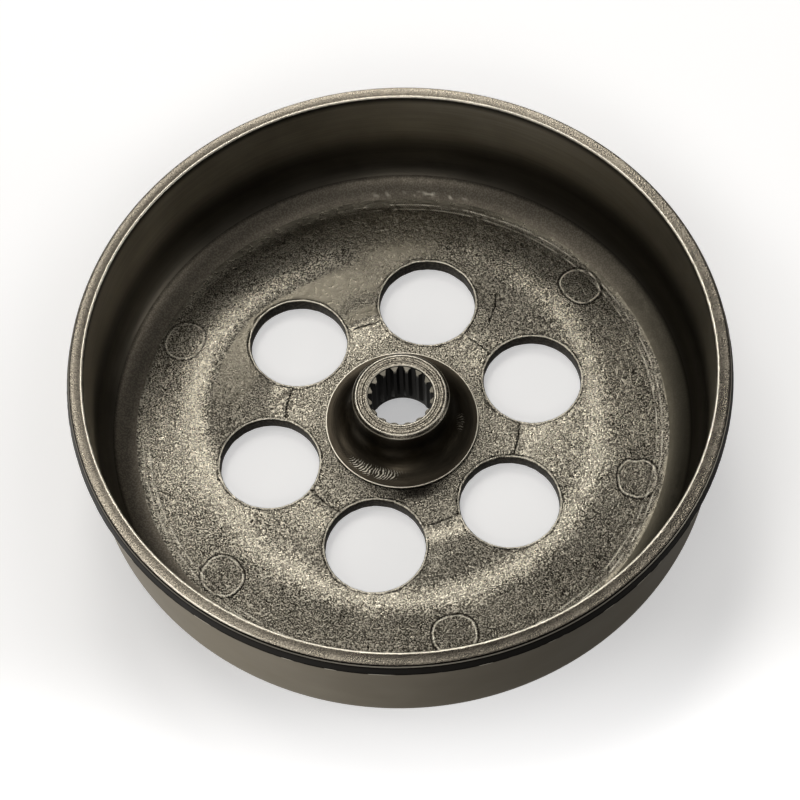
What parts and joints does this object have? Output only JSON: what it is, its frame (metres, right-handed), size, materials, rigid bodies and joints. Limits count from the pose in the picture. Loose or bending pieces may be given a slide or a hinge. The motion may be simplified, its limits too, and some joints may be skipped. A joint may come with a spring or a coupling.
{
  "type": "centrifugal clutch drum",
  "caption": "Open cup-shaped steel drum with a turned rim, round lightening holes in the web and a short internally splined hub at its centre.",
  "frame": {"origin": "on the drum's axis, in the plane of the outside face of the web, which the drum stands on", "axes": "+Z along the axis, out of the drum's open side; +X and +Y across it, with the first lightening hole 16.5 degrees from +X towards +Y"},
  "size_m": [0.113, 0.113, 0.0263],
  "materials": {
    "drum_steel": "satin",
    "hub_steel": "satin"
  },
  "bodies": {
    "root": {"drum": "drum_steel", "hub": "hub_steel"}
  },
  "joints": []
}
